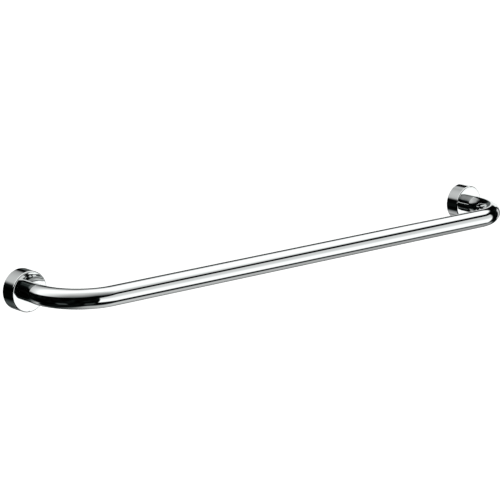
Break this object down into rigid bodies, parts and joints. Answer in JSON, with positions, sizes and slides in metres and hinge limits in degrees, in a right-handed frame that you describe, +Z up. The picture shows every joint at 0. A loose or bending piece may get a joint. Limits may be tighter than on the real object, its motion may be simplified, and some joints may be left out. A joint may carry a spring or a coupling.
{
  "type": "towel rail",
  "caption": "Polished chrome towel rail: a round bar bent back to the wall at both ends, on thick round rosettes that hide the brackets.",
  "frame": {"origin": "on the wall plane, midway between the axes of the two rosettes", "axes": "+X along the bar, +Y into the wall, +Z up; the rail stands out towards -Y"},
  "size_m": [0.639, 0.0835, 0.039],
  "materials": {
    "polished_chrome": "mirror polish",
    "insert_brass": "turned",
    "screw_steel": "zinc plated",
    "bracket_steel": "turned"
  },
  "bodies": {
    "root": {"rail_tube": "polished_chrome", "left_rosette": "polished_chrome", "right_rosette": "polished_chrome", "left_end_insert": "insert_brass", "right_end_insert": "insert_brass", "left_clamp_screw": "screw_steel", "right_clamp_screw": "screw_steel", "left_lock_washer": "screw_steel", "right_lock_washer": "screw_steel", "left_wall_bracket": "bracket_steel", "right_wall_bracket": "bracket_steel", "left_grub_screw": "screw_steel", "right_grub_screw": "screw_steel"}
  },
  "joints": []
}
